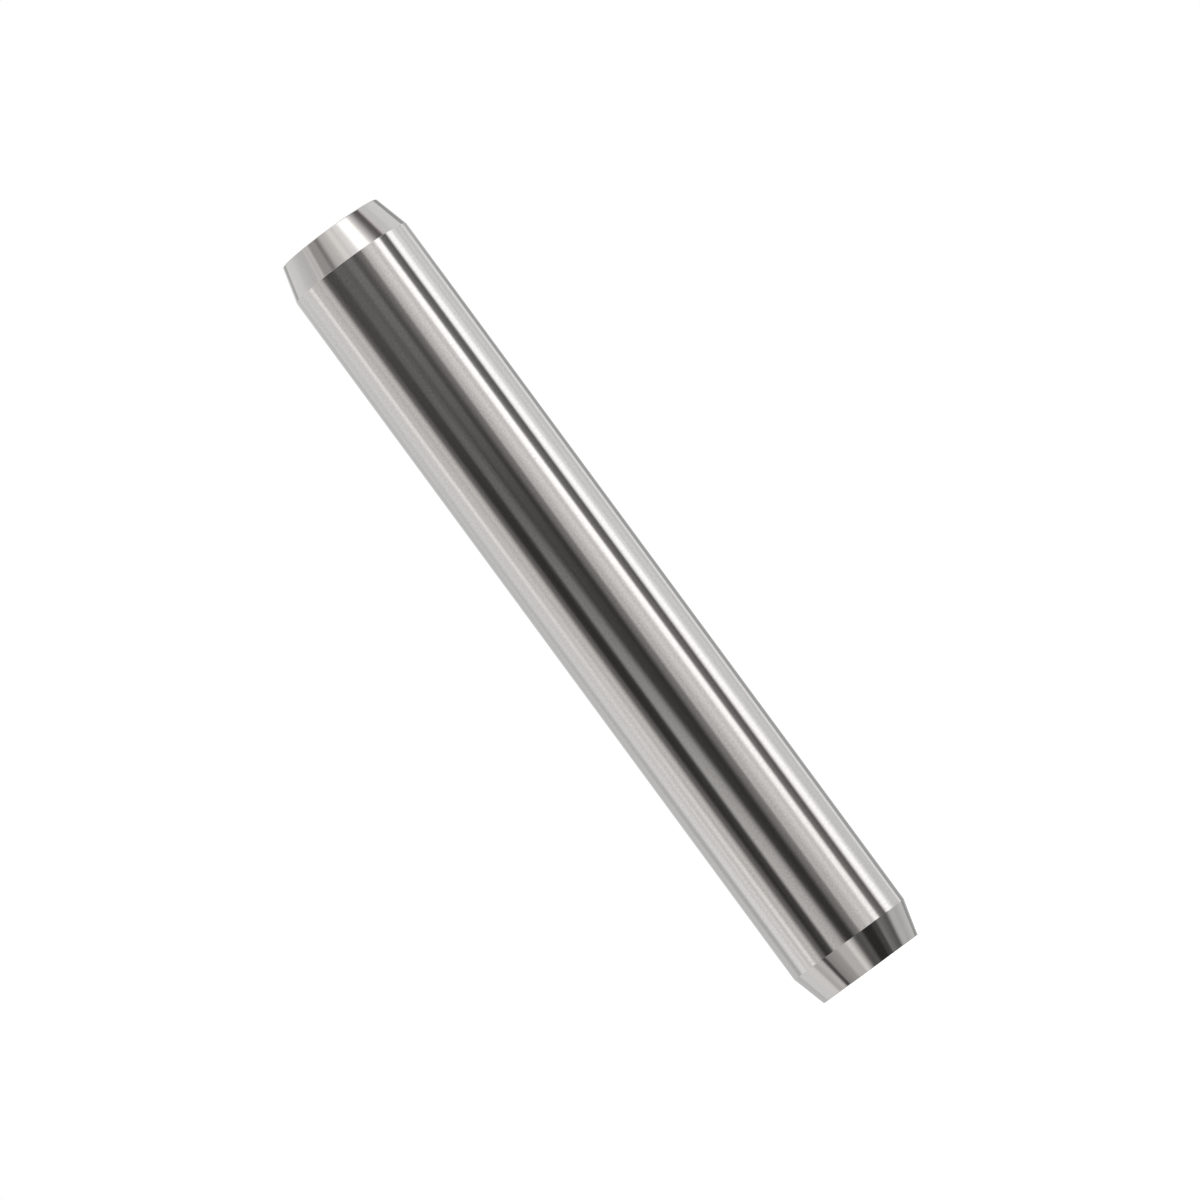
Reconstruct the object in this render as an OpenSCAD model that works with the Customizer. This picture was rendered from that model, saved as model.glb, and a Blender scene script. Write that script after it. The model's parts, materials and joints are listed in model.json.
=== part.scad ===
// Slotted spring pin (roll pin) in its free state, in millimetres.
//
// One piece: a strip of spring steel rolled into an open tube, with a tapered lead-in at each end. It is
// driven into a hole smaller than itself, the slot closes, and the wall's spring holds it there.
//
// Frame: +Z along the pin, origin on the axis in the plane of one end face, slot on the +Y side.

/* [Fit] */
// Diameter of the hole that the pin is driven into
hole_d = 6; // [5:0.5:12]
// How much wider the free pin is than its hole
oversize = 0.7; // [0.4:0.05:0.8]
// Overall length
length = 45; // [16:1:100]

/* [Strip] */
// Thickness of the strip, which is the pin's wall
wall = 1.2; // [0.9:0.05:1.5]
// Gap left between the strip's edges when the pin is in its hole
closed_gap = 0.3; // [0.1:0.05:1]
// Rounding of the strip's four long edges, where they meet the slot
slot_edge_r = 0.15; // [0.05:0.01:0.25]

/* [Ends] */
// Length of each tapered lead-in, along the axis
chamfer_len = 1.8; // [0.8:0.1:2.4]
// Slope of the lead-in from the axis, in degrees
chamfer_angle = 15; // [8:1:20]
// Rounding of each end face's inner and outer edge
end_edge_r = 0.05; // [0.02:0.01:0.15]

/* [Hidden] */

$fn = 96;
arc_steps = 6;       // straight steps in each rounded edge
flare_angle = 12;    // how steeply a slot edge's rounding breaks out through the wall's surface
overshoot = 1;       // how far a cut runs past the metal
steel = [0.78, 0.78, 0.77];

// Round sizes of the free pin
free_r = (hole_d + oversize) / 2;
bore_r = free_r - wall;
mid_r = free_r - wall / 2;
end_r = free_r - chamfer_len * tan(chamfer_angle);

// The strip's width is what fills the hole's circumference but for the closed gap. Rolled to the free
// diameter, the same width leaves the slot that shows.
strip_w = PI * (hole_d - wall) - closed_gap;
slot_angle = 360 - strip_w / (2 * PI * mid_r) * 360;

// A vector's direction
function unit(v) = v / norm(v);

// Points round corner b, between its neighbours a and c, on an arc of radius r that touches both sides
function rounded(a, b, c, r) =
    let (
        to_a = unit(a - b),
        to_c = unit(c - b),
        half = acos(to_a * to_c) / 2,
        centre = b + unit(to_a + to_c) * r / sin(half),
        first = b + to_a * r / tan(half) - centre,
        start = atan2(first[1], first[0]),
        sweep = sign(cross(to_c, to_a)) * (180 - 2 * half)
    )
    [for (i = [0:arc_steps]) let (turn = start + sweep * i / arc_steps) centre + r * [cos(turn), sin(turn)]];

// A closed outline from its corners, each [point, rounding]; a rounding of 0 keeps the corner sharp
function outline(corners) =
    let (n = len(corners))
    [
        for (i = [0:n - 1])
            let (
                before = corners[(i + n - 1) % n][0],
                here = corners[i],
                after = corners[(i + 1) % n][0]
            )
            each here[1] > 0 ? rounded(before, here[0], after, here[1]) : [here[0]]
    ];

// Lengthwise section of the wall: straight bore, straight shank, a taper at each end
module wall_section() {
    polygon(outline([
        [[bore_r, 0], end_edge_r],
        [[end_r, 0], end_edge_r],
        [[free_r, chamfer_len], 0],
        [[free_r, length - chamfer_len], 0],
        [[end_r, length], end_edge_r],
        [[bore_r, length], end_edge_r]
    ]));
}

// Cross-section of the slot. Its faces are radial, as a rolled strip's square edges are, and each runs out
// through the bore and the shank over a rounded edge.
module slot_section() {
    along = [sin(slot_angle / 2), cos(slot_angle / 2)];
    into_wall = [along[1], -along[0]];
    flare_out = into_wall * cos(flare_angle) + along * sin(flare_angle);
    flare_in = into_wall * cos(flare_angle) - along * sin(flare_angle);
    flare_len = 1.5 * slot_edge_r;
    half = [
        [along * bore_r + flare_in * flare_len, 0],
        [along * bore_r, slot_edge_r],
        [along * free_r, slot_edge_r],
        [along * free_r + flare_out * flare_len, 0],
        [[(along * free_r + flare_out * flare_len)[0], free_r + overshoot], 0]
    ];
    mirrored = [for (i = [len(half) - 1:-1:0]) [[-half[i][0][0], half[i][0][1]], half[i][1]]];
    polygon(outline(concat(half, mirrored)));
}

// The pin: the wall turned about the axis, its seam inside the slot, less the slot from end to end
module spring_pin() {
    color(steel)
    difference() {
        rotate([0, 0, 90])
        rotate_extrude()
        wall_section();

        translate([0, 0, -overshoot])
        linear_extrude(height = length + 2 * overshoot)
        slot_section();
    }
}

spring_pin();
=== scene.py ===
"""Looks of a slotted spring pin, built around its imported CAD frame. Blender 4.5, metres, +Z up.

The pin is one rolled strip of bright spring steel, so it is one piece here too: a mesh swept from one slot
face to the other, with the finish of each of its surfaces as a material of its own. The rest of the script
is the studio: a camera, a white floor, plain soft light, and the dome of panels that the steel mirrors.
"""
import json
import math

import bpy
import numpy as np
from mathutils import Matrix, Vector


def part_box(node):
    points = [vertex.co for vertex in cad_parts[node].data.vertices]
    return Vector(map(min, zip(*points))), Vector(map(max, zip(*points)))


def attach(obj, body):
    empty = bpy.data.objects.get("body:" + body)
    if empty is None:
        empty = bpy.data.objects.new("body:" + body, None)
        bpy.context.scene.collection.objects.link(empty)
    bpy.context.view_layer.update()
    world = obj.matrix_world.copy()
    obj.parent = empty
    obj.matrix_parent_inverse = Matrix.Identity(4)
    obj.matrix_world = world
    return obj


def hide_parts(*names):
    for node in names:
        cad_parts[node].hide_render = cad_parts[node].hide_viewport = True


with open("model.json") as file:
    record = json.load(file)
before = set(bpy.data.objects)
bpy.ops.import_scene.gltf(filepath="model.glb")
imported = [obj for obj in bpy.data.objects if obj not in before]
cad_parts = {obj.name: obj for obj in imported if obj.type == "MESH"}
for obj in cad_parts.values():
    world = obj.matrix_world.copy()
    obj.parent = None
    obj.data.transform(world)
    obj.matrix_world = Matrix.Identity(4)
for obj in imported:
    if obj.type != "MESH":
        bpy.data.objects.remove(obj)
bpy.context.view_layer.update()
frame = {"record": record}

MM = 0.001

# ---------------------------------------------------------------------------- sizes, from the frame

mounts = {mount["name"]: mount["dims"] for mount in frame["record"]["mounts"]}
bottom_corner, top_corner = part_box("spring_pin")

FREE_R = mounts["shank"]["r_mm"] * MM
BORE_R = mounts["bore"]["r_mm"] * MM
LENGTH = top_corner.z - bottom_corner.z
CHAMFER_LEN = (LENGTH - mounts["shank"]["length_mm"] * MM) / 2
WALL = FREE_R - BORE_R

# These repeat the part's source
HOLE_D = 6 * MM                     # hole that the pin is driven into
CLOSED_GAP = 0.3 * MM               # slot left once it is there
CHAMFER_ANGLE = math.radians(15)
END_EDGE_R = 0.05 * MM              # rounding of the end faces' edges
SLOT_EDGE_R = 0.15 * MM             # rounding of the edges along the slot

# These are the mesh's own
SHOULDER_R = 0.12 * MM              # softening of the corner between a lead-in and the shank
SHARP_R = 0.02 * MM                 # least rounding of the end faces' edges, where they meet the slot

END_R = FREE_R - CHAMFER_LEN * math.tan(CHAMFER_ANGLE)
STRIP_W = math.pi * (HOLE_D - WALL) - CLOSED_GAP
SLOT_HALF = math.pi - STRIP_W / (FREE_R + BORE_R)     # half the slot's angle, from +Y

# ---------------------------------------------------------------------------- camera

CAMERA_AT = Vector((0, -506, 2.87)) * MM
AIMED_AT = Vector((0.03, 0, 22.53)) * MM
CAMERA_ROLL = math.radians(-36.35)   # the pin leans to the upper left of the picture
LENS_MM = 308.4
SENSOR_MM = 36
CLIP_NEAR = 10 * MM
CLIP_FAR = 20


def add_camera():
    """A view from the side that has no slot, level with the pin's foot and held at a slant."""
    data = bpy.data.cameras.new("camera")
    data.lens = LENS_MM
    data.sensor_width = SENSOR_MM
    data.clip_start = CLIP_NEAR
    data.clip_end = CLIP_FAR
    camera = bpy.data.objects.new("camera", data)
    bpy.context.scene.collection.objects.link(camera)
    level = (AIMED_AT - CAMERA_AT).to_track_quat("-Z", "Y").to_matrix().to_4x4()
    camera.matrix_world = Matrix.Translation(CAMERA_AT) @ level @ Matrix.Rotation(CAMERA_ROLL, 4, "Z")
    bpy.context.scene.camera = camera


# ---------------------------------------------------------------------------- node helpers

class Nodes:
    """A node tree with short ways to add nodes and links."""

    def __init__(self, owner):
        owner.use_nodes = True
        self.tree = owner.node_tree
        self.tree.nodes.clear()

    def add(self, kind, inputs=None, **settings):
        """A node of that kind. inputs maps socket names or numbers to values or output sockets."""
        node = self.tree.nodes.new(kind)
        for name, value in settings.items():
            setattr(node, name, value)
        for name, value in (inputs or {}).items():
            if isinstance(value, bpy.types.NodeSocket):
                self.tree.links.new(value, node.inputs[name])
            else:
                node.inputs[name].default_value = value
        return node

    def maths(self, operation, *values):
        """The output of a Math node, whose inputs are values or output sockets."""
        return self.add("ShaderNodeMath", dict(enumerate(values)), operation=operation).outputs[0]

    def link(self, output, node, name):
        """Link an output socket to the input of that name."""
        self.tree.links.new(output, node.inputs[name])


# ---------------------------------------------------------------------------- studio

WHITE = (1, 1, 1, 1)
PLAIN_LIGHT = 0.9                    # strength of the world where it lights things
SEEN_LIGHT = 1.0                     # its strength where it is seen or mirrored, as pure white

KEY_AT = Vector((-0.35, -0.15, 0.55))
KEY_SIZE = 0.35
KEY_WATTS = 3.2

FLOOR_SIZE = 40
FLOOR_COLOUR = (0.9, 0.9, 0.9, 1)
FLOOR_LIFT = 0.22                    # glow that brings the floor up to white where it is seen

DOME_R = 3
DOME_BEARING_STEP = 1                # degrees
DOME_HEIGHT_STEP = 1.5               # degrees


def seen_or_mirrored(nodes):
    """1 for camera, glossy and transmission rays, 0 for the rays that light things."""
    path = nodes.add("ShaderNodeLightPath").outputs
    either = nodes.maths("MAXIMUM", path["Is Camera Ray"], path["Is Glossy Ray"])
    return nodes.maths("MAXIMUM", either, path["Is Transmission Ray"])


def add_world():
    """A white world, which lights the scene a little less brightly than it looks."""
    world = bpy.data.worlds.new("plain_light")
    bpy.context.scene.world = world
    nodes = Nodes(world)
    plain = nodes.add("ShaderNodeBackground", {"Color": WHITE, "Strength": PLAIN_LIGHT})
    white = nodes.add("ShaderNodeBackground", {"Color": WHITE, "Strength": SEEN_LIGHT})
    shaders = {0: seen_or_mirrored(nodes), 1: plain.outputs[0], 2: white.outputs[0]}
    mixed = nodes.add("ShaderNodeMixShader", shaders)
    nodes.add("ShaderNodeOutputWorld", {"Surface": mixed.outputs[0]})


def quads_to_mesh(name, points, quads):
    """A mesh of four-sided faces, each given by the numbers of its four points."""
    mesh = bpy.data.meshes.new(name)
    mesh.from_pydata([tuple(point) for point in points], [], [tuple(quad) for quad in quads])
    return mesh


def add_to_scene(name, mesh):
    """A new object with that mesh, in the scene."""
    thing = bpy.data.objects.new(name, mesh)
    bpy.context.scene.collection.objects.link(thing)
    return thing


def add_key_light():
    """One large soft lamp, high on the left, for the shadow that stands the pin on the floor."""
    data = bpy.data.lights.new("soft_key", "AREA")
    data.shape = "DISK"
    data.size = KEY_SIZE
    data.energy = KEY_WATTS
    lamp = bpy.data.objects.new("soft_key", data)
    bpy.context.scene.collection.objects.link(lamp)
    lamp.location = KEY_AT
    lamp.rotation_euler = (-KEY_AT).to_track_quat("-Z", "Y").to_euler()
    lamp.visible_glossy = False
    lamp.visible_camera = False


def add_floor():
    """A white floor that keeps the pin's shadow and runs into the white world at the horizon."""
    half = FLOOR_SIZE / 2
    corners = [(-half, -half, 0), (half, -half, 0), (half, half, 0), (-half, half, 0)]
    floor = add_to_scene("floor", quads_to_mesh("floor", corners, [(0, 1, 2, 3)]))
    material = bpy.data.materials.new("floor_white")
    nodes = Nodes(material)
    shade = nodes.add("ShaderNodeBsdfDiffuse", {"Color": FLOOR_COLOUR})
    lift = nodes.maths("MULTIPLY", seen_or_mirrored(nodes), FLOOR_LIFT)
    glow = nodes.add("ShaderNodeEmission", {"Color": WHITE, "Strength": lift})
    both = nodes.add("ShaderNodeAddShader", {0: shade.outputs[0], 1: glow.outputs[0]})
    nodes.add("ShaderNodeOutputMaterial", {"Surface": both.outputs[0]})
    floor.data.materials.append(material)
    floor.visible_glossy = False


# The dome's panels. A bearing is in degrees from the camera's side, to the right. A rise is an angle above
# the horizon, as a share of the one at which a level ray leaves the upper lead-in on that bearing. Seen by
# the camera, the upper lead-in mirrors rises of about 1.2 and the lower one about -1, and both mirror less
# at the rear. The shank mirrors about 0 at its foot and, at its top, 0.17 in front, 0.24 at the sides and
# 0.43 at the rear. A later panel stands in front of the earlier ones.
AROUND = 200             # bearing past the rear, so that no soft edge shows
SKY = 9                  # rise past the zenith
MID_FOOT = -0.3          # foot of the shank's panels, and top of the lower lead-in's
MID_TOP = 0.45           # top of the shank's panels, with the surround bare from there to HIGH_FOOT
HIGH_FOOT = 0.72         # foot of the upper lead-in's panels


def panel(left, right, light, right_light=None, bottom=-SKY, top=SKY, soft=6, fade=0.12, lean=0):
    """A panel's place and brightness, which may run from light on its left to right_light on its right.

    left and right are bearings, bottom and top are rises, and a light of 1 is as bright as the white world.
    soft is the width of its side edges in degrees, fade that of its bottom and top edges in rise, and lean
    how many degrees it leans to the right over a rise of 1.
    """
    if right_light is None:
        right_light = light
    return left, right, np.array(light), np.array(right_light), bottom, top, soft, fade, lean


def mid(*place, bottom=MID_FOOT, top=MID_TOP, **edges):
    """A panel that the shank mirrors."""
    return panel(*place, bottom=bottom, top=top, **edges)


def high(*place, **edges):
    """A panel that the upper lead-in mirrors."""
    return panel(*place, bottom=HIGH_FOOT, **edges)


def low(*place, **edges):
    """A panel that the lower lead-in mirrors."""
    return panel(*place, top=MID_FOOT, **edges)


PANELS = {
    "surround": panel(-AROUND, AROUND, 0.80),

    "rear_left": mid(-AROUND, -141, 0.64, soft=7),
    "left_gap": mid(-141, -122, 0.68, top=0.29, soft=9, fade=0.20),
    "left_gap_low": mid(-132, -117, 0.55, top=0.11, soft=9, fade=0.18),
    "left_bright": mid(-117, -104, 0.85, soft=9),
    "left_low_glow": mid(-112, -102, 0.96, top=0.04, soft=8, fade=0.08),
    "left_bright_edge": mid(-94, -86, 1.06, bottom=0.10, soft=4),
    "left_bright_foot": mid(-95, -90, 0.92, top=0.10, soft=4, fade=0.10),
    "left_dip": mid(-90, -83, 0.74, top=0.06, soft=4, fade=0.08),
    "left_low_line": mid(-82, -75, 1.04, top=0.06, soft=5, fade=0.08),
    "left_card": mid(-86, -63, 0.72, 0.66, bottom=0.09, soft=4, fade=0.10),
    "left_card_foot": mid(-74, -63, 0.64, soft=5, fade=0.10),
    "left_card_rim": mid(-68, -64, 0.73, soft=3, fade=0.10),
    "opening": mid(-60.5, 27, 0.16, soft=11, lean=5),
    "opening_left": mid(-50, -31, 0.035, top=0.14, soft=8, fade=0.06),
    "opening_left_top": mid(-51, -32, 0.09, bottom=0.14, soft=9, fade=0.06),
    "opening_left_foot": mid(-43, -33, 0.065, top=0.015, soft=9, fade=0.05),
    "grey_screen": mid(-32.5, -2, 0.67, 0.48, top=0.045, soft=7, fade=0.09, lean=14),
    "opening_centre": mid(-10.5, 11, 0.05, top=0.13, soft=12, fade=0.08, lean=-55),
    "opening_right": mid(0, 14, 0.04, top=0.15, soft=9, fade=0.10, lean=20),
    "lens_hood": mid(-8, 6, 0.22, bottom=0.12, soft=8, fade=0.08),
    "dim_card": mid(11, 25, 0.17, 0.28, soft=9, lean=33),
    "right_card": mid(23.5, 46, 0.61, soft=4, lean=18),
    "right_card_glow": mid(32, 50, 0.61, 0.96, soft=4, lean=-20),
    "right_card_far": mid(46, 56, 0.78, soft=4),
    "dark_flag": mid(67.5, 83.5, 0.24, 0.09, soft=4),
    "strip_light_foot": mid(55.5, 65, 1.30, soft=5),
    "strip_light": mid(58.5, 67.5, 1.65, bottom=0.05, soft=5, fade=0.08, lean=-12),
    "strip_light_rim": mid(55.5, 60, 1.45, bottom=0.06, soft=9),
    "afterglow": mid(98, 108, 0.98, soft=7),
    "second_strip": mid(87.5, 101, 1.46, soft=8, lean=-10),
    "right_foot": mid(109, 134, 0.76, top=0.06, soft=5),
    "right_line": mid(115, 123, 0.84, bottom=0.05, soft=4),
    "right_dip": mid(125, 132, 0.75, bottom=0.05, soft=4),
    "right_glow": mid(134, 150, 0.98, soft=4),
    "rear_flag": mid(143, AROUND, 0.40, 0.52, soft=4, lean=3),

    "high_rear_left": high(-158, -142, 0.48),
    "high_left_rim": high(-142, -100, 0.84),
    "high_left": high(-112, -70, 0.80, 0.58, soft=20),
    "high_left_edge": high(-66, -54, 0.60, 0.80, soft=4),
    "high_screen": high(-56, -20, 0.39, soft=5),
    "high_seam": high(-37, -29, 0.25, soft=5),
    "high_front": high(-27, 22, 0.56, 1.02, soft=8),
    "high_glint": high(-5, 4, 0.94, soft=5),
    "high_dip": high(6, 12, 0.83, soft=5),
    "high_softbox": high(24, 52, 1.60, soft=10),
    "high_falloff": high(52, 72, 0.96, 0.13, soft=8),
    "high_flag": high(70, 84.5, 0.14, soft=8),
    "high_right": high(84, 108, 0.76),
    "high_right_rim": high(108, 142, 0.84),
    "high_rear_right": high(142, 164, 0.37),

    "low_surround": low(-AROUND, AROUND, 0.66),
    "low_rear_left": low(-175, -133, 0.62),
    "low_left": low(-132, -84, 0.79, 0.85),
    "low_left_shade": low(-86, -75, 0.54, soft=8),
    "low_left_flag": low(-63.5, -53.5, 0.06, soft=5),
    "low_left_card": low(-54, -28, 0.30, 0.46),
    "low_front": low(-27, 2, 0.62, 0.60, soft=5),
    "low_front_glow": low(-9, 0, 0.86, soft=5),
    "low_opening": low(6, 64, 0.13, soft=11),
    "low_opening_dip": low(12, 19, 0.10, soft=6),
    "low_flag": low(27.5, 51, 0.03, soft=7),
    "low_flag_edge": low(50, 63, 0.07, soft=5),
    "low_dim_card": low(62, 100, 0.26, 0.01, soft=8),
    "low_right_rim": low(90, 112, 0.60, soft=12),
    "low_right": low(109, 142, 0.52, 0.71, soft=7),
    "low_rear_right": low(142, 160, 0.37),
}

# The light's faint tints, as panels with a colour in the place of a brightness. The dome's light is its
# brightness times its tint.
TINTS = {
    "cool": panel(-AROUND, AROUND, (0.982, 1.0, 1.010)),
    "warm": panel(-96, 58, (1.016, 1.0, 0.988), soft=60),
    "plain_opening": mid(-38, 13, (0.987, 1.0, 0.986), bottom=0.002, soft=14, fade=0.05),
    "red_flag": mid(68, 87, (1.055, 1.0, 0.995), top=0.06, soft=12, fade=0.10),
    "cool_high_left": high(-AROUND, -70, (0.982, 1.0, 1.005), soft=24),
    "plain_high_front": high(12, 46, (0.990, 1.0, 1.003), soft=16),
    "red_high_flag": high(62, 88, (0.972, 0.905, 0.930), soft=18),
    "warm_low": low(-92, -8, (1.025, 1.0, 0.988), soft=24),
}

LEAST_UNIT = math.radians(11.5)    # least angle of rise 1, which would fall to nothing at the rear


def smooth_step(x):
    """0 up to x = 0, 1 from x = 1, and a smooth way from one to the other between."""
    x = np.clip(x, 0, 1)
    return x * x * (3 - 2 * x)


def window(x, start, end, softness):
    """1 between start and end, 0 outside, with soft edges centred on them."""
    return smooth_step((x - start) / softness + 0.5) * smooth_step((end - x) / softness + 0.5)


def layered(panels, bearing, rise):
    """What the panels, each over the earlier ones, come to at a bearing in degrees and a rise."""
    total = 0
    for left, right, left_light, right_light, bottom, top, soft, fade, lean in panels.values():
        upright = bearing - lean * rise
        cover = window(upright, left, right, soft) * window(rise, bottom, top, fade)
        across = np.clip((upright - left) / (right - left), 0, 1)
        total = total + (left_light + (right_light - left_light) * across - total) * cover
    return total


def dome_light(bearing, height):
    """The dome's colour at a bearing and an angle above the horizon, both in radians."""
    unit = np.maximum(np.arcsin(np.sin(2 * CHAMFER_ANGLE) * np.cos(bearing / 2)), LEAST_UNIT)
    place = np.degrees(bearing)[..., None], (height / unit)[..., None]
    return layered(PANELS, *place) * layered(TINTS, *place)


def add_dome():
    """The panels round the pin, which only mirrored rays see. They light nothing else and cast nothing."""
    bearings = np.radians(np.arange(-180, 180, DOME_BEARING_STEP))
    heights = np.radians(np.arange(-90, 90 + DOME_HEIGHT_STEP / 2, DOME_HEIGHT_STEP))
    height, bearing = np.meshgrid(heights, bearings, indexing="ij")
    out = np.cos(height) * DOME_R
    up = np.sin(height) * DOME_R + LENGTH / 2
    points = np.stack([out * np.sin(bearing), -out * np.cos(bearing), up], -1).reshape(-1, 3)
    rows, columns = height.shape
    index = np.arange(rows * columns).reshape(rows, columns)
    after = np.roll(index, -1, axis=1)
    quads = np.stack([index[:-1], after[:-1], after[1:], index[1:]], -1).reshape(-1, 4)
    mesh = quads_to_mesh("light_dome", points, quads.tolist())
    light = dome_light(bearing, height).reshape(-1, 3)
    colours = mesh.color_attributes.new("light", "FLOAT_COLOR", "POINT")
    colours.data.foreach_set("color", np.hstack([light, np.ones((len(light), 1))]).ravel())

    material = bpy.data.materials.new("light_panels")
    material.cycles.emission_sampling = "NONE"
    nodes = Nodes(material)
    light_of = nodes.add("ShaderNodeAttribute", attribute_name="light").outputs["Color"]
    glow = nodes.add("ShaderNodeEmission", {"Color": light_of, "Strength": 1.0})
    nodes.add("ShaderNodeOutputMaterial", {"Surface": glow.outputs[0]})
    mesh.materials.append(material)

    dome = add_to_scene("light_dome", mesh)
    dome.visible_camera = False
    dome.visible_diffuse = False
    dome.visible_transmission = False
    dome.visible_shadow = False


# ---------------------------------------------------------------------------- the pin's mesh

SWEEP_STEPS = 300        # round the pin, from one slot face to the other
SHANK_STEPS = 32         # along the shank
LEAD_IN_STEPS = 4
END_EDGE_STEPS = 4
SHOULDER_STEPS = 3
SLOT_EDGE_STEPS = 4

SHANK, LEAD_IN, END_FACE, BORE, SLOT_FACE = range(5)   # the pin's surfaces, and their material slots


def rounded_corner(before, corner, after, radius, steps):
    """Points and outward normals on an arc of that radius that touches both sides of a corner."""
    to_before = (before - corner).normalized()
    to_after = (after - corner).normalized()
    half = to_before.angle(to_after) / 2
    centre = corner + (to_before + to_after).normalized() * radius / math.sin(half)
    first = (corner + to_before * radius / math.tan(half) - centre).normalized()
    last = (corner + to_after * radius / math.tan(half) - centre).normalized()
    turn = first.angle_signed(last)
    normals = [Matrix.Rotation(-turn * i / steps, 2) @ first for i in range(steps + 1)]
    return [(centre + normal * radius, normal) for normal in normals]


def between(start, end, steps):
    """The points that divide a straight stretch, with its normal, which both its ends have."""
    return [(start[0].lerp(end[0], i / steps), start[1]) for i in range(1, steps)]


def upside_down(point, normal):
    """The same point of the section, and its normal, at the pin's other end."""
    return Vector((point.x, LENGTH - point.y)), Vector((normal.x, -normal.y))


def wall_section(inset):
    """The wall's lengthwise section, with every side moved inwards by inset, as one closed loop.

    It runs up the outside and down the bore. Both columns have the same number of levels, so the ends and
    the slot faces close with plain quads. Gives points and normals, each as (radial, upward) pairs.
    """
    slope = math.tan(CHAMFER_ANGLE)
    bore = BORE_R + inset
    shank = FREE_R - inset
    end = END_R - inset / math.cos(CHAMFER_ANGLE) + inset * slope
    edge_r = max(END_EDGE_R - inset, SHARP_R)
    inner_foot = Vector((bore, inset))
    outer_foot = Vector((end, inset))
    shoulder = Vector((shank, inset + (shank - end) / slope))
    middle = (Vector((shank, LENGTH / 2)), Vector((1, 0)))
    bore_middle = (Vector((bore, LENGTH / 2)), Vector((-1, 0)))

    foot = rounded_corner(inner_foot, outer_foot, shoulder, edge_r, END_EDGE_STEPS)
    bend = rounded_corner(outer_foot, shoulder, middle[0], SHOULDER_R, SHOULDER_STEPS)
    lower = foot + between(foot[-1], bend[0], LEAD_IN_STEPS) + bend
    lower += between(bend[-1], middle, SHANK_STEPS // 2)

    bore_foot = rounded_corner(outer_foot, inner_foot, bore_middle[0], edge_r, END_EDGE_STEPS)
    bore_lower = bore_foot + between(bore_foot[-1], bore_middle, len(lower) - END_EDGE_STEPS)

    def whole(column, centre):
        """A column from foot to top, made from its lower half and its middle."""
        return column + [centre] + [upside_down(*step) for step in reversed(column)]

    loop = whole(lower, middle) + whole(bore_lower, bore_middle)[::-1]
    points, normals = zip(*loop)
    return np.array([tuple(point) for point in points]), np.array([tuple(normal) for normal in normals])


def ring(section, angles, lean, face_normal):
    """A section set round the pin at an angle per point. lean turns its normals towards a slot face's."""
    points, normals = section
    around = np.stack([np.sin(angles), np.cos(angles)], -1)
    placed = np.column_stack([points[:, :1] * around, points[:, 1]])
    turned = np.column_stack([normals[:, :1] * around, normals[:, 1]])
    turned = turned * math.cos(lean) + np.array(face_normal) * math.sin(lean)
    return placed, turned


def slot_edge_rings(side):
    """The rings from a slot face into the wall, over the rounded edges of the strip.

    side is 1 for the face on +X and -1 for the other. The first ring lies in the face.
    """
    face_normal = (-side * math.cos(SLOT_HALF), math.sin(SLOT_HALF), 0)
    rings = []
    for i in range(SLOT_EDGE_STEPS + 1):
        lean = math.radians(90) * (1 - i / SLOT_EDGE_STEPS)
        section = wall_section(SLOT_EDGE_R * (1 - math.cos(lean)))
        depth = SLOT_EDGE_R * (1 - math.sin(lean))
        angles = SLOT_HALF + np.arcsin(depth / section[0][:, 0])
        rings.append(ring(section, side * angles, lean, face_normal))
    return rings


def surface_of(normal, outward):
    """Which of the pin's surfaces a face away from the slot belongs to. outward is negative in the bore."""
    if abs(normal[2]) > math.sin(math.radians(45)):
        return END_FACE
    if outward < 0:
        return BORE
    return LEAD_IN if abs(normal[2]) > math.sin(CHAMFER_ANGLE / 2) else SHANK


def pin_mesh():
    """The rolled strip: its section swept from one slot face to the other."""
    section = wall_section(0)
    start = SLOT_HALF + np.arcsin(SLOT_EDGE_R / section[0][:, 0])
    rings = slot_edge_rings(1)
    for i in range(1, SWEEP_STEPS):
        angles = start + (2 * math.pi - 2 * start) * i / SWEEP_STEPS
        rings.append(ring(section, angles, 0, (0, 0, 0)))
    rings += slot_edge_rings(-1)[::-1]

    around = len(section[0])
    levels = around // 2
    points = np.concatenate([placed for placed, _turned in rings])
    normals = np.concatenate([turned for _placed, turned in rings])

    last = (len(rings) - 1) * around
    caps = []
    for i in range(levels - 1):
        face = [i, i + 1, around - 2 - i, around - 1 - i]
        caps.append(face[::-1])
        caps.append([last + corner for corner in face])
    swept = []
    for j in range(len(rings) - 1):
        for i in range(around):
            here = j * around
            after = (i + 1) % around
            swept.append([here + i, here + after, here + around + after, here + around + i])

    mesh = quads_to_mesh("rolled_strip", points, caps + swept)
    mesh.polygons.foreach_set("use_smooth", [True] * len(mesh.polygons))
    mesh.normals_split_custom_set_from_vertices(normals.tolist())

    surfaces = [SLOT_FACE] * len(caps)
    for face in swept:
        ring_number = face[0] // around
        by_slot = ring_number < SLOT_EDGE_STEPS or ring_number >= len(rings) - 1 - SLOT_EDGE_STEPS
        normal = normals[face].mean(axis=0)
        centre = points[face].mean(axis=0)
        surfaces.append(SLOT_FACE if by_slot else surface_of(normal, normal[:2] @ centre[:2]))
    for material in steel_finishes():
        mesh.materials.append(material)
    mesh.polygons.foreach_set("material_index", surfaces)
    return mesh


# ---------------------------------------------------------------------------- the steel's finishes

STEEL = (0.683, 0.66, 0.641)
ENDLESS = 1000 * MM                 # size of a mark in a direction along which it doesn't change
NOISE_LOW = 0.3                     # most of the noise lies between these
NOISE_HIGH = 0.7

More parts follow.
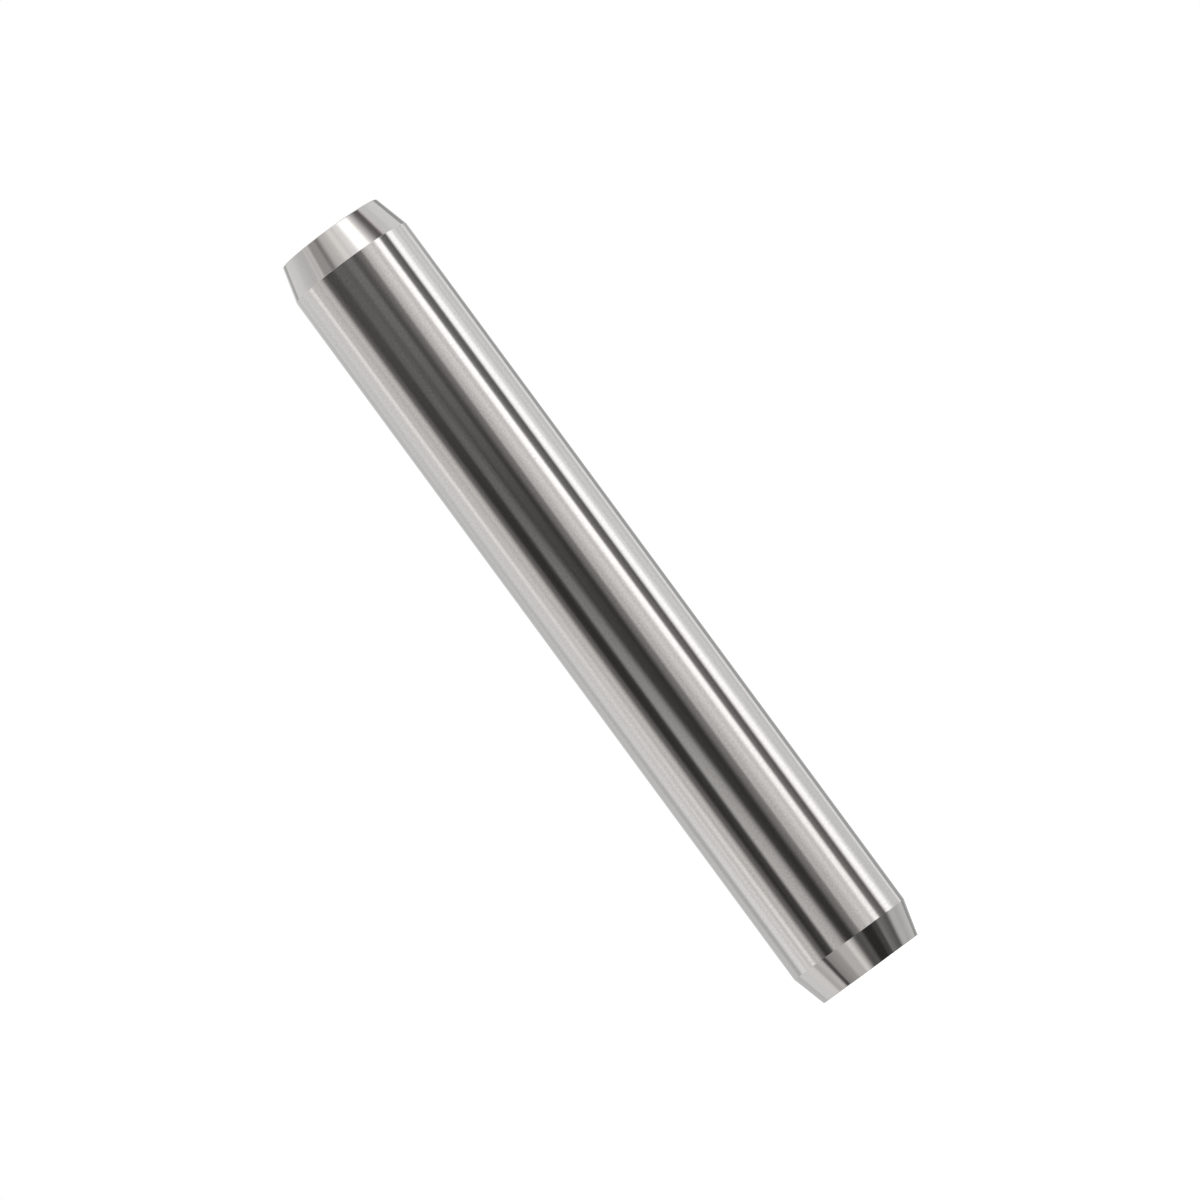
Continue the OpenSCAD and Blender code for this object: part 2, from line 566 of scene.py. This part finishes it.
SHEARED_SHARE = 0.45                # share of the wall, from the shank, that shears before the rest breaks
BORDER_WANDER = 0.06 * MM           # how far the border between the two wanders to either side
BORDER_SOFT = 0.04 * MM             # half the border's width


class Steel(Nodes):
    """A finish of the spring steel. Its marks follow the pin: along it, round it and out from its axis."""

    def __init__(self, name):
        self.material = bpy.data.materials.new(name)
        super().__init__(self.material)
        place = self.add("ShaderNodeTexCoord").outputs["Object"]
        x, y, self.along = self.add("ShaderNodeSeparateXYZ", {0: place}).outputs
        behind = self.maths("MULTIPLY", y, -1)
        self.round = self.maths("ARCTAN2", x, behind)       # its jump is in the slot
        across = self.add("ShaderNodeCombineXYZ", {"X": x, "Y": y}).outputs[0]
        self.out = self.add("ShaderNodeVectorMath", {0: across}, operation="LENGTH").outputs["Value"]

    def marks(self, width_round, width_along, width_out=ENDLESS, detail=2.0, seed=0.0):
        """Noise from 0 to 1 whose marks have about those sizes, in metres, round, along and out."""
        place = self.add("ShaderNodeCombineXYZ", {
            "X": self.maths("MULTIPLY_ADD", self.round, FREE_R / width_round, seed),
            "Y": self.maths("MULTIPLY", self.along, 1 / width_along),
            "Z": self.maths("MULTIPLY", self.out, 1 / width_out),
        }).outputs[0]
        settings = {"Vector": place, "Scale": 1.0, "Detail": detail, "Roughness": 0.6}
        return self.add("ShaderNodeTexNoise", settings).outputs[0]

    def spread(self, marks, least, most):
        """marks, which lie round 0.5, as a value from least to most."""
        return self.add("ShaderNodeMapRange", {
            "Value": marks, "From Min": NOISE_LOW, "From Max": NOISE_HIGH, "To Min": least, "To Max": most,
        }, clamp=True).outputs[0]

    def finish(self, shade, roughness, height, depth, anisotropic=0.0):
        """The shader: shade is a factor on the steel's colour, height is relief of that depth in metres."""
        colour = self.add("ShaderNodeVectorMath", {0: STEEL, 3: shade}, operation="SCALE").outputs[0]
        bump = self.add("ShaderNodeBump", {"Height": height, "Distance": depth, "Strength": 1.0})
        shader = self.add("ShaderNodeBsdfPrincipled", {
            "Base Color": colour,
            "Metallic": 1.0,
            "Roughness": roughness,
            "Anisotropic": anisotropic,
            "Normal": bump.outputs[0],
        })
        if anisotropic:
            tangent = self.add("ShaderNodeTangent", direction_type="RADIAL", axis="Z")
            self.link(tangent.outputs[0], shader, "Tangent")
        self.add("ShaderNodeOutputMaterial", {"Surface": shader.outputs[0]})
        return self.material


def drawn_steel():
    """The shank: near mirror, with the fine lines that drawing and rolling leave along it."""
    steel = Steel("drawn_steel")
    fine = steel.marks(0.05 * MM, 14 * MM)
    broad = steel.marks(0.35 * MM, 60 * MM, seed=40.0)
    grain = steel.marks(0.09 * MM, 0.14 * MM, detail=1.0, seed=90.0)
    lines = steel.maths("ADD", steel.maths("MULTIPLY", fine, 0.5), steel.maths("MULTIPLY", broad, 0.5))
    shade = steel.maths("ADD", steel.spread(lines, 0.94, 1.045), steel.spread(grain, -0.07, 0.07))
    roughness = steel.spread(fine, 0.07, 0.10)
    return steel.finish(shade, roughness, fine, depth=0.00015 * MM, anisotropic=0.6)


def swaged_lead_in():
    """The tapers: swaged in a die, which leaves rings over the strip's lines."""
    steel = Steel("swaged_lead_in")
    rings = steel.marks(9 * MM, 0.03 * MM)
    lines = steel.marks(0.10 * MM, 8 * MM, seed=20.0)
    grain = steel.marks(0.09 * MM, 0.14 * MM, detail=1.0, seed=50.0)
    marks = steel.maths("ADD", steel.spread(lines, -0.022, 0.022), steel.spread(grain, -0.025, 0.025))
    shade = steel.maths("ADD", steel.spread(rings, 0.98, 1.01), marks)
    return steel.finish(shade, steel.spread(rings, 0.09, 0.13), rings, depth=0.00003 * MM)


def cut_end():
    """The end faces: cut square and tumbled, with dull circular marks."""
    steel = Steel("cut_end")
    rings = steel.marks(10 * MM, ENDLESS, width_out=0.09 * MM)
    cloud = steel.marks(0.6 * MM, 0.6 * MM, width_out=0.6 * MM, seed=10.0)
    shade = steel.maths("ADD", steel.spread(rings, 0.84, 1.0), steel.spread(cloud, -0.03, 0.03))
    return steel.finish(shade, steel.spread(cloud, 0.20, 0.30), rings, depth=0.0015 * MM)


def strip_bore():
    """The bore: the strip's inner side, dull from rolling, with lines along it."""
    steel = Steel("strip_bore")
    lines = steel.marks(0.10 * MM, 45 * MM)
    cloud = steel.marks(0.8 * MM, 6 * MM, seed=30.0)
    shade = steel.maths("ADD", steel.spread(lines, 0.84, 0.94), steel.spread(cloud, -0.05, 0.05))
    return steel.finish(shade, steel.spread(lines, 0.22, 0.34), lines, depth=0.0006 * MM)


def sheared_edge():
    """The slot faces: a bright sheared band by the shank and a dull broken one by the bore."""
    steel = Steel("sheared_edge")
    wander = steel.spread(steel.marks(ENDLESS, 1.2 * MM, seed=5.0), -BORDER_WANDER, BORDER_WANDER)
    border = FREE_R - SHEARED_SHARE * WALL
    past = steel.maths("SUBTRACT", border, steel.maths("ADD", steel.out, wander))
    broken = steel.add("ShaderNodeMapRange", {
        "Value": past, "From Min": -BORDER_SOFT, "From Max": BORDER_SOFT, "To Min": 0.0, "To Max": 1.0,
    }, interpolation_type="SMOOTHSTEP").outputs[0]
    scores = steel.marks(ENDLESS, 0.12 * MM, width_out=1.5 * MM)
    pits = steel.marks(ENDLESS, 0.09 * MM, width_out=0.09 * MM, detail=4.0, seed=60.0)
    relief = steel.add("ShaderNodeMix", {0: broken, 2: scores, 3: pits}).outputs[0]
    shade = steel.maths("SUBTRACT", steel.spread(relief, 0.90, 1.0), steel.maths("MULTIPLY", broken, 0.12))
    roughness = steel.maths("MULTIPLY_ADD", broken, 0.24, 0.16)
    return steel.finish(shade, roughness, relief, depth=0.004 * MM)


def steel_finishes():
    """One material for each of the pin's surfaces, in the order of their slots."""
    return [drawn_steel(), swaged_lead_in(), cut_end(), strip_bore(), sheared_edge()]


def add_pin():
    """The pin, on the part's one body, in the place of its CAD node."""
    pin = add_to_scene("rolled_spring_pin", pin_mesh())
    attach(pin, "root")
    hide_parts("spring_pin")


# ---------------------------------------------------------------------------- the scene

bpy.context.scene.view_settings.view_transform = "Standard"
add_camera()
add_world()
add_key_light()
add_floor()
add_dome()
add_pin()
